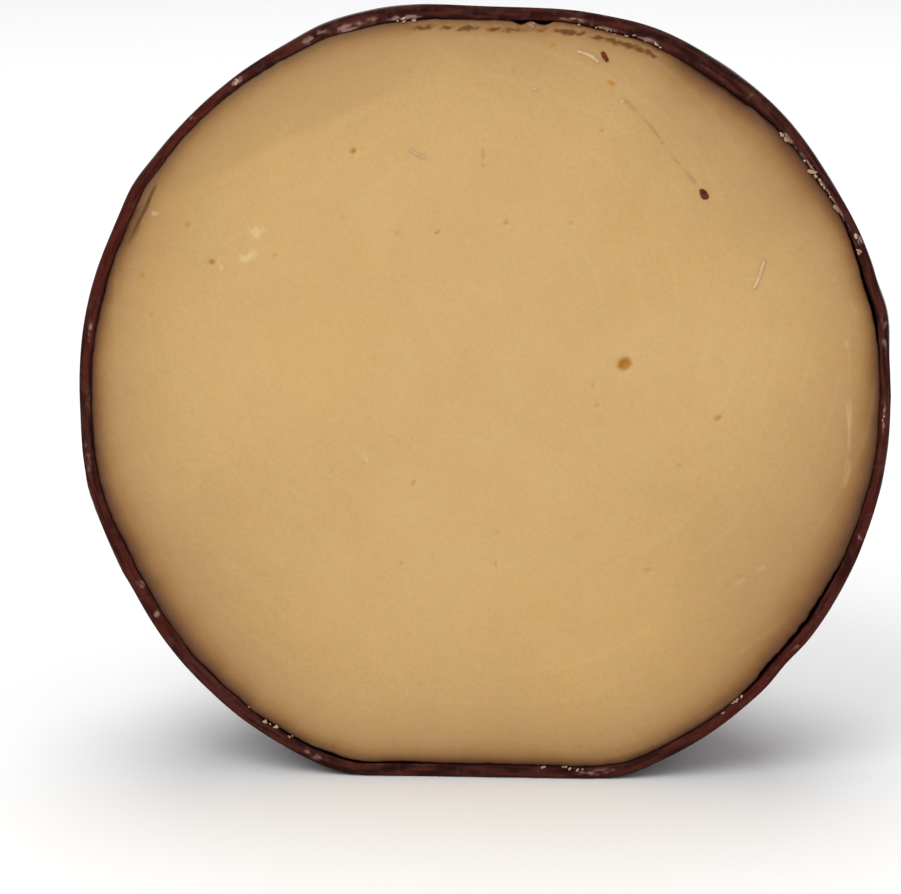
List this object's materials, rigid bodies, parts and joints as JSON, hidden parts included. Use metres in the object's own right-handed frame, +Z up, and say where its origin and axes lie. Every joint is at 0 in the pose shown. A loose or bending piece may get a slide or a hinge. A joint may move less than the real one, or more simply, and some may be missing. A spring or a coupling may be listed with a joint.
{
  "type": "half ball of waxed cheese",
  "caption": "Half of a small ball cheese, cut flat through the middle and stood on its rind: tan paste with small eyes and pits inside a thin, dark, glossy coat of wax.",
  "frame": {"origin": "on the surface that the piece stands on, under the middle of its box", "axes": "+Z up, the cut face looks towards -Y and leans back 9 degrees, +X to the right as seen from the cut side"},
  "size_m": [0.13, 0.0774, 0.1231],
  "materials": {
    "wax": "dark maroon-brown cheese wax, half gloss, with soft ridges, creases and grey scuffs",
    "paste": "knife-cut hard cheese, tan, satin, darker towards the rind, with small eyes and pits"
  },
  "bodies": {
    "root": {"wax_coat": "wax", "cheese_paste": "paste"}
  },
  "joints": []
}
